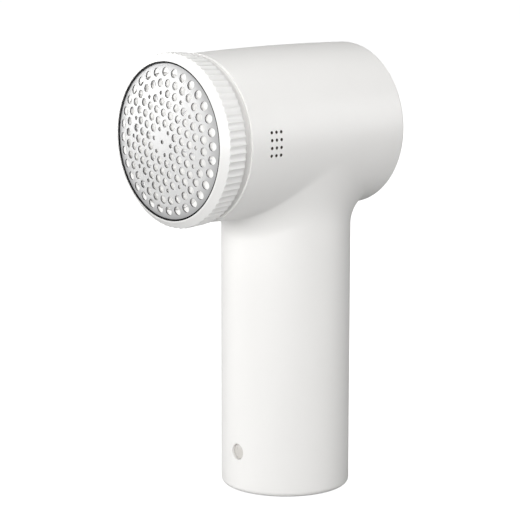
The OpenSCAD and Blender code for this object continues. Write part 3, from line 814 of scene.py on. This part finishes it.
def metal(
    name, colour, roughness, stretch=(1, 1, 1), scratch_mm=0.08, relief_mm=0.0015, shift=0.05,
    metallic=1.0,
):
    """Worked metal: fine lines along one direction, uneven polish and faint staining."""
    material, tree, p = shader(name)
    dark = tuple(max(0.0, c - shift) for c in colour)
    light = tuple(min(1.0, c + shift) for c in colour)
    tree.links.new(tint(tree, noise(tree, 220, 4), dark, light), p.inputs["Base Color"])
    lines = noise(tree, 1000 / scratch_mm, 2, stretch)
    tree.links.new(spread(tree, lines, roughness - 0.06, roughness + 0.06), p.inputs["Roughness"])
    tree.links.new(bump(tree, lines, relief_mm), p.inputs["Normal"])
    p.inputs["Metallic"].default_value = metallic
    return material


def from_axis(tree, near_mm, far_mm, most):
    """Grows from 0 at one radius about the barrel's axis to its most at another."""
    place = tree.nodes.new("ShaderNodeTexCoord")
    shift = tree.nodes.new("ShaderNodeVectorMath")
    shift.operation = "SUBTRACT"
    shift.inputs[1].default_value = (0, 0, AXIS_Z * MM)
    flat = tree.nodes.new("ShaderNodeVectorMath")
    flat.operation = "MULTIPLY"
    flat.inputs[1].default_value = (1, 0, 1)
    radius = tree.nodes.new("ShaderNodeVectorMath")
    radius.operation = "LENGTH"
    node = tree.nodes.new("ShaderNodeMapRange")
    node.inputs["From Min"].default_value = near_mm * MM
    node.inputs["From Max"].default_value = far_mm * MM
    node.inputs["To Max"].default_value = most
    tree.links.new(place.outputs["Object"], shift.inputs[0])
    tree.links.new(shift.outputs[0], flat.inputs[0])
    tree.links.new(flat.outputs[0], radius.inputs[0])
    tree.links.new(radius.outputs["Value"], node.inputs["Value"])
    return node.outputs["Result"]


def foil_material(name):
    """Satin steel sheet with painted shade darkening it towards its rim; marked faces get
    near-black painted shade.
    """
    material, tree, p = shader(name)
    mark = dark_mark(tree)
    rim_shade, wall_and_gap_shade = (0.3, 0.3, 0.305), (0.01, 0.01, 0.011)
    sheet = tint(tree, noise(tree, 260, 4), (0.635, 0.635, 0.632), (0.675, 0.675, 0.672))
    # painted shade: the sheet darkens from 19.5 mm out towards the rim
    sheet = darken(tree, sheet, from_axis(tree, 19.5, 23.6, 0.6), rim_shade)
    # painted shade: marked faces (hole walls, band in the rim gap) turn near black and lose most of
    # their shine
    tree.links.new(darken(tree, sheet, mark, wall_and_gap_shade), p.inputs["Base Color"])
    shine = tree.nodes.new("ShaderNodeMapRange")
    shine.inputs["To Min"].default_value = 0.5
    shine.inputs["To Max"].default_value = 0.05
    tree.links.new(mark, shine.inputs["Value"])
    tree.links.new(shine.outputs["Result"], p.inputs["Specular IOR Level"])
    lines = noise(tree, 5000, 2, (1, 1, 6))
    tree.links.new(spread(tree, lines, 0.38, 0.46), p.inputs["Roughness"])
    tree.links.new(bump(tree, lines, 0.0006), p.inputs["Normal"])
    p.inputs["Metallic"].default_value = 0.2
    return material


def rubber(name, colour):
    """Matt rubber with a fine moulded grain and a dusty sheen."""
    material, tree, p = shader(name)
    dark = tuple(c * 0.88 for c in colour)
    tree.links.new(tint(tree, noise(tree, 500, 5), dark, colour), p.inputs["Base Color"])
    tree.links.new(spread(tree, noise(tree, 300, 3), 0.72, 0.88), p.inputs["Roughness"])
    tree.links.new(bump(tree, noise(tree, 4000, 2), 0.02), p.inputs["Normal"])
    p.inputs["Sheen Weight"].default_value = 0.15
    return material


def lens_material(name):
    """Milky diffusing lens with faint flow marks."""
    material, tree, p = shader(name)
    milky = tint(tree, noise(tree, 600, 3), (0.58, 0.56, 0.53), (0.64, 0.62, 0.59))
    tree.links.new(milky, p.inputs["Base Color"])
    tree.links.new(spread(tree, noise(tree, 900, 3), 0.25, 0.4), p.inputs["Roughness"])
    tree.links.new(bump(tree, noise(tree, 5000, 2), 0.002), p.inputs["Normal"])
    p.inputs["Subsurface Weight"].default_value = 0.3
    p.inputs["Subsurface Radius"].default_value = (0.002, 0.002, 0.0018)
    return material


def board_material(name):
    """Solder mask with copper tracks showing through as a finer, lighter grid."""
    material, tree, p = shader(name)
    place = tree.nodes.new("ShaderNodeTexCoord")
    tracks = tree.nodes.new("ShaderNodeTexBrick")
    tracks.inputs["Scale"].default_value = 260
    tracks.inputs["Mortar Size"].default_value = 0.03
    tracks.inputs["Color1"].default_value = (0.012, 0.12, 0.05, 1)
    tracks.inputs["Color2"].default_value = (0.016, 0.15, 0.065, 1)
    tracks.inputs["Mortar"].default_value = (0.05, 0.28, 0.12, 1)
    turn = tree.nodes.new("ShaderNodeMapping")
    turn.inputs["Rotation"].default_value = (math.pi / 2, 0, 0)
    tree.links.new(place.outputs["Object"], turn.inputs["Vector"])
    tree.links.new(turn.outputs["Vector"], tracks.inputs["Vector"])
    tree.links.new(tracks.outputs["Color"], p.inputs["Base Color"])
    tree.links.new(spread(tree, noise(tree, 800, 4), 0.25, 0.4), p.inputs["Roughness"])
    tree.links.new(bump(tree, tracks.outputs["Fac"], 0.03), p.inputs["Normal"])
    return material


def make_materials():
    """One material for each of the record's slots."""
    return {
        "shell_plastic": plastic("white_shell", (0.85, 0.842, 0.825), 0.42, coat=0.1),
        "ring_plastic": plastic("white_gloss", (0.855, 0.85, 0.835), 0.34, coat=0.1),
        "foil_steel": foil_material("foil_steel"),
        "blade_steel": metal("blade_steel", (0.85, 0.85, 0.86), 0.5, (1, 8, 1), metallic=0.4),
        "bright_steel": metal("bright_steel", (0.62, 0.62, 0.64), 0.3),
        "inner_plastic": plastic("white_inner", (0.93, 0.922, 0.905), 0.5, 0.3, 0.006),
        "grey_rubber": rubber("grey_rubber", (0.42, 0.42, 0.415)),
        "bin_plastic": plastic("bin_frosted", (0.66, 0.66, 0.65), 0.45, 0.25, 0.008),
        "dark_plastic": plastic("dark_plastic", (0.03, 0.03, 0.034), 0.45, 0.3, 0.008, shift=0.006),
        "board_green": board_material("board_green"),
        "cell_wrap": plastic("cell_wrap", (0.05, 0.2, 0.42), 0.3, 1.5, 0.01),
        "copper": metal("copper_wire", (0.75, 0.36, 0.2), 0.32, (1, 12, 1), 0.2, 0.02),
        "bronze": metal("bronze", (0.66, 0.46, 0.22), 0.4),
        "magnet": metal("ferrite", (0.09, 0.09, 0.095), 0.6, shift=0.02),
        "lens": lens_material("milky_lens"),
        "wire_skin": plastic("wire_skin", (0.5, 0.04, 0.03), 0.4, 0.8, 0.01),
    }


# ---------------------------------------------------------------- dressing


def put(obj, body, slot, materials, *nodes):
    """Rides a new piece on its body, stands it in for its CAD nodes and gives it its finish."""
    obj.data.materials.clear()
    obj.data.materials.append(materials[slot])
    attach(obj, body)
    if nodes:
        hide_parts(*nodes)


def dress_nodes(materials):
    """Gives each CAD node the material of its slot."""
    for sub in frame["record"]["subparts"]:
        node = frame["nodes"][sub["node"]]
        for slot in node.material_slots:
            slot.link = "OBJECT"
            slot.material = materials[sub["material_slot"]]


def soften(node, width_mm):
    """Breaks the moulded edges of a CAD node."""
    bevel = frame["nodes"][node].modifiers.new("edge", "BEVEL")
    bevel.width = width_mm * MM
    bevel.segments = 3
    bevel.limit_method = "ANGLE"
    bevel.angle_limit = math.radians(40)


# ---------------------------------------------------------------- studio

# Camera: turn and lift of its place and of its view in degrees, the rest in millimetres
CAMERA_AZIMUTH = 48.17
CAMERA_ELEVATION = 10.52
CAMERA_DISTANCE = 727.3
CAMERA_AIM = Vector((0.0, -10.0, 75.3))
VIEW_AZIMUTH = 48.24
VIEW_PITCH = 10.49
VIEW_ROLL = 0.075
FOCAL_LENGTH = 156.0

# Lights, in metres
LIGHT_AIM = Vector((0.0, -0.01, 0.08))
LIGHT_DISTANCE = 1.3
LIGHT_SIZE = 0.8

# Brightness of floor and surround for the camera, and of the surround for the object
FLOOR_GLOW = 1.0
SURROUND_GLOW = 0.03

# Name, degrees round from the camera (right is positive), degrees up, watts
STUDIO_LIGHTS = (
    ("key", -30, 6, 11.2),
    ("front", 0, 6, 9.4),
    ("left", -104, 6, 10.8),
    ("back_left", -155, 8, 5.0),
    ("right", 90, 10, 7.1),
    ("high_left", -85, 60, 2.6),
    ("top", 0, 89, 8.4),
)


def area_light(name, around, above, power):
    """A large soft light, placed by its angles from the camera's side of the object."""
    turn, lift = math.radians(CAMERA_AZIMUTH + around), math.radians(above)
    flat = math.cos(lift)
    out = Vector((math.sin(turn) * flat, -math.cos(turn) * flat, math.sin(lift)))
    data = bpy.data.lights.new(name, "AREA")
    data.shape = "SQUARE"
    data.size = LIGHT_SIZE
    data.energy = power
    light = bpy.data.objects.new(name, data)
    light.location = LIGHT_AIM + out * LIGHT_DISTANCE
    light.rotation_euler = (-out).to_track_quat("-Z", "Y").to_euler()
    bpy.context.collection.objects.link(light)


def floor_material():
    """Pale floor that the camera sees as white, but that throws little light up at the object."""
    material, tree, p = shader("pale_floor")
    p.inputs["Base Color"].default_value = (0.3, 0.3, 0.3, 1)
    p.inputs["Roughness"].default_value = 0.9
    p.inputs["Specular IOR Level"].default_value = 0.0
    p.inputs["Emission Color"].default_value = (1, 1, 1, 1)
    path = tree.nodes.new("ShaderNodeLightPath")
    glow = tree.nodes.new("ShaderNodeMath")
    glow.operation = "MULTIPLY"
    glow.inputs[1].default_value = FLOOR_GLOW
    tree.links.new(path.outputs["Is Camera Ray"], glow.inputs[0])
    tree.links.new(glow.outputs[0], p.inputs["Emission Strength"])
    return material


def build_studio():
    """Seamless pale floor, dim surround, and seven large soft lights round the object."""
    reach = 30.0
    corners = [(-reach, -reach, 0), (reach, -reach, 0), (reach, reach, 0), (-reach, reach, 0)]
    mesh = bpy.data.meshes.new("floor")
    mesh.from_pydata(corners, [], [(0, 1, 2, 3)])
    mesh.materials.append(floor_material())
    floor = bpy.data.objects.new("floor", mesh)
    bpy.context.collection.objects.link(floor)

    world = bpy.data.worlds.new("studio")
    world.use_nodes = True
    sky = world.node_tree.nodes["Background"]
    path = world.node_tree.nodes.new("ShaderNodeLightPath")
    seen = world.node_tree.nodes.new("ShaderNodeMapRange")
    seen.inputs["To Min"].default_value = SURROUND_GLOW
    seen.inputs["To Max"].default_value = FLOOR_GLOW
    world.node_tree.links.new(path.outputs["Is Camera Ray"], seen.inputs["Value"])
    world.node_tree.links.new(seen.outputs["Result"], sky.inputs["Strength"])
    sky.inputs["Color"].default_value = (1, 1, 1, 1)
    bpy.context.scene.world = world

    for name, around, above, power in STUDIO_LIGHTS:
        area_light(name, around, above, power)
    bpy.context.scene.view_settings.view_transform = "Standard"


def build_camera():
    """Long lens from the front right, a little above the object."""
    azimuth, elevation = math.radians(CAMERA_AZIMUTH), math.radians(CAMERA_ELEVATION)
    flat = math.cos(elevation)
    away = Vector((math.sin(azimuth) * flat, -math.cos(azimuth) * flat, math.sin(elevation)))
    place = CAMERA_AIM * MM + away * (CAMERA_DISTANCE * MM)
    data = bpy.data.cameras.new("camera")
    data.sensor_width = 36.0
    data.lens = FOCAL_LENGTH
    data.clip_start = 0.01
    camera = bpy.data.objects.new("camera", data)
    camera.matrix_world = (
        Matrix.Translation(place)
        @ Matrix.Rotation(math.radians(VIEW_AZIMUTH), 4, "Z")
        @ Matrix.Rotation(math.pi / 2 - math.radians(VIEW_PITCH), 4, "X")
        @ Matrix.Rotation(math.radians(VIEW_ROLL), 4, "Z")
    )
    bpy.context.collection.objects.link(camera)
    bpy.context.scene.camera = camera


# ---------------------------------------------------------------- put together

build_camera()
build_studio()
materials = make_materials()
dress_nodes(materials)

put(build_body(), "housing", "shell_plastic", materials, "body_shell")
put(build_ring(), "ring", "ring_plastic", materials, "locking_ring")
put(build_foil(), "foil_head", "foil_steel", materials, "foil")
put(build_button(), "button", "ring_plastic", materials, "power_button")
put(build_lens(), "housing", "lens", materials, "light_pipe")
soften("bin_cover", 0.3)
soften("base_cap", 0.2)
soften("base_pad", 0.2)
soften("lint_bin", 0.15)
